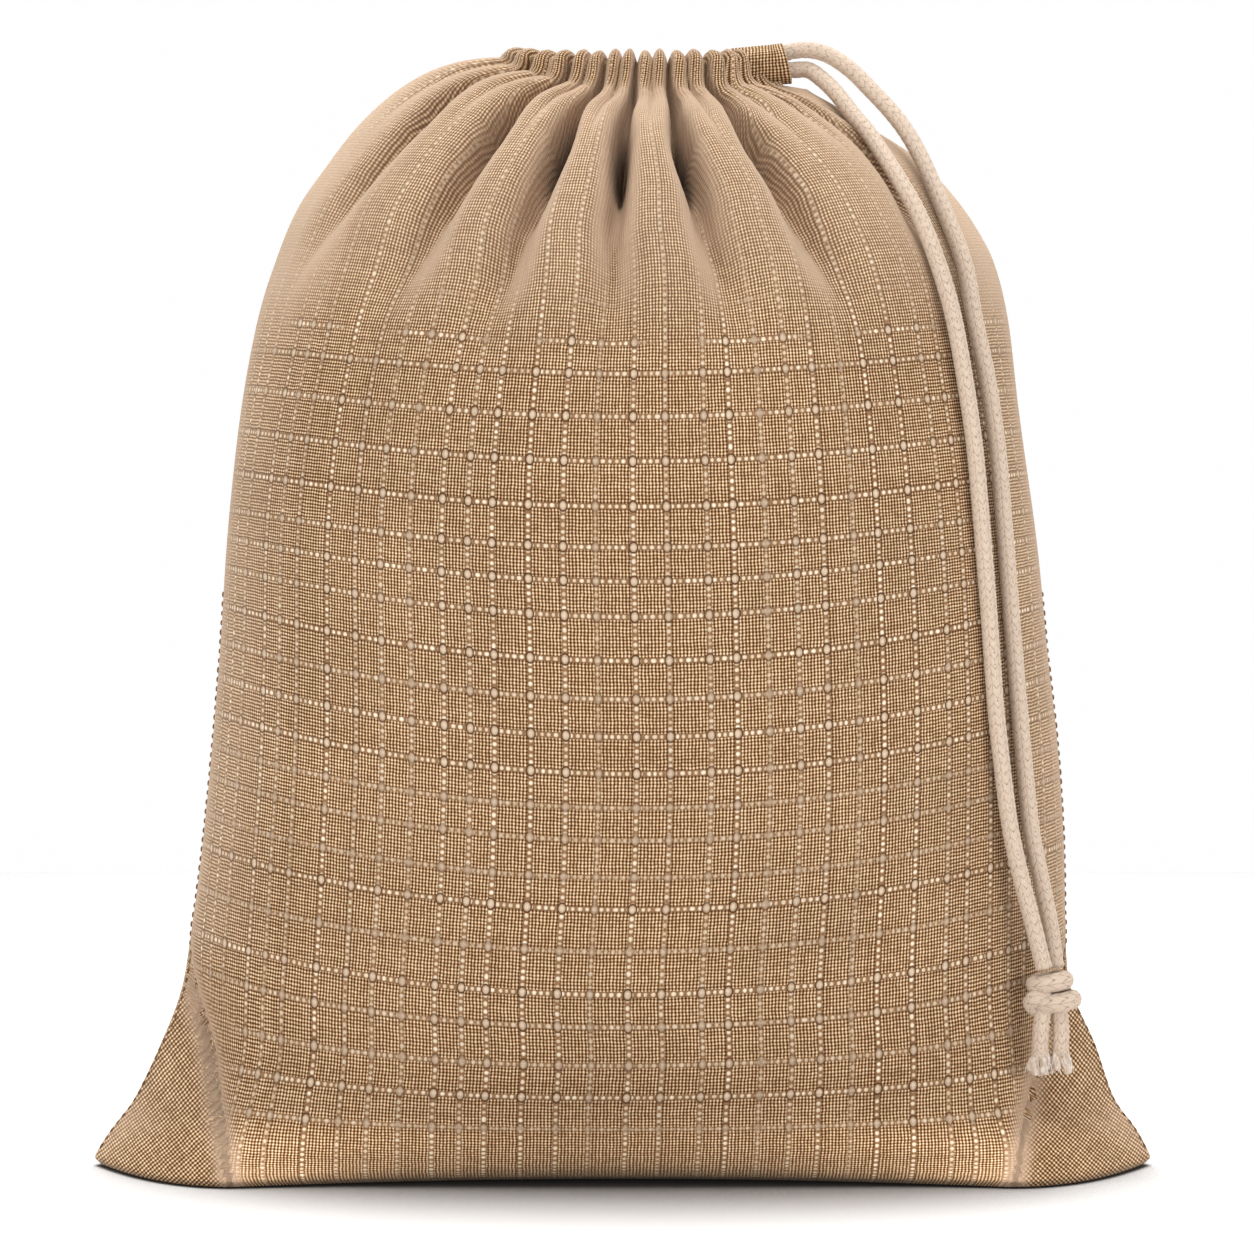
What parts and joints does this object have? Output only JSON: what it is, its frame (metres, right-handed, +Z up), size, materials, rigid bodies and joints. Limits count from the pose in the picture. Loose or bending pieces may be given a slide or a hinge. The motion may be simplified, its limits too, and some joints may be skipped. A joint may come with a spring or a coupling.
{
  "type": "linen drawstring bag",
  "caption": "Standing linen drawstring bag with spread bottom corners, a gathered mouth and a braided cotton drawcord that ends in a knot with frayed tips.",
  "frame": {"origin": "on the floor under the middle of the bag, between the tips of its bottom corners and midway between front and back", "axes": "+Z up through the drawn mouth, -Y the front on which the cord hangs, +X to the side where the cord comes out of the tunnel"},
  "size_m": [0.2828, 0.14, 0.3004],
  "materials": {
    "linen_cloth": "coarse slubbed weave, matte",
    "cotton_cord": "braided cotton, matte"
  },
  "bodies": {
    "root": {"bag_cloth": "linen_cloth", "drawcord_upper_leg": "cotton_cord", "drawcord_lower_leg": "cotton_cord", "drawcord_knot": "cotton_cord", "cord_end_left": "cotton_cord", "cord_end_right": "cotton_cord"}
  },
  "joints": []
}
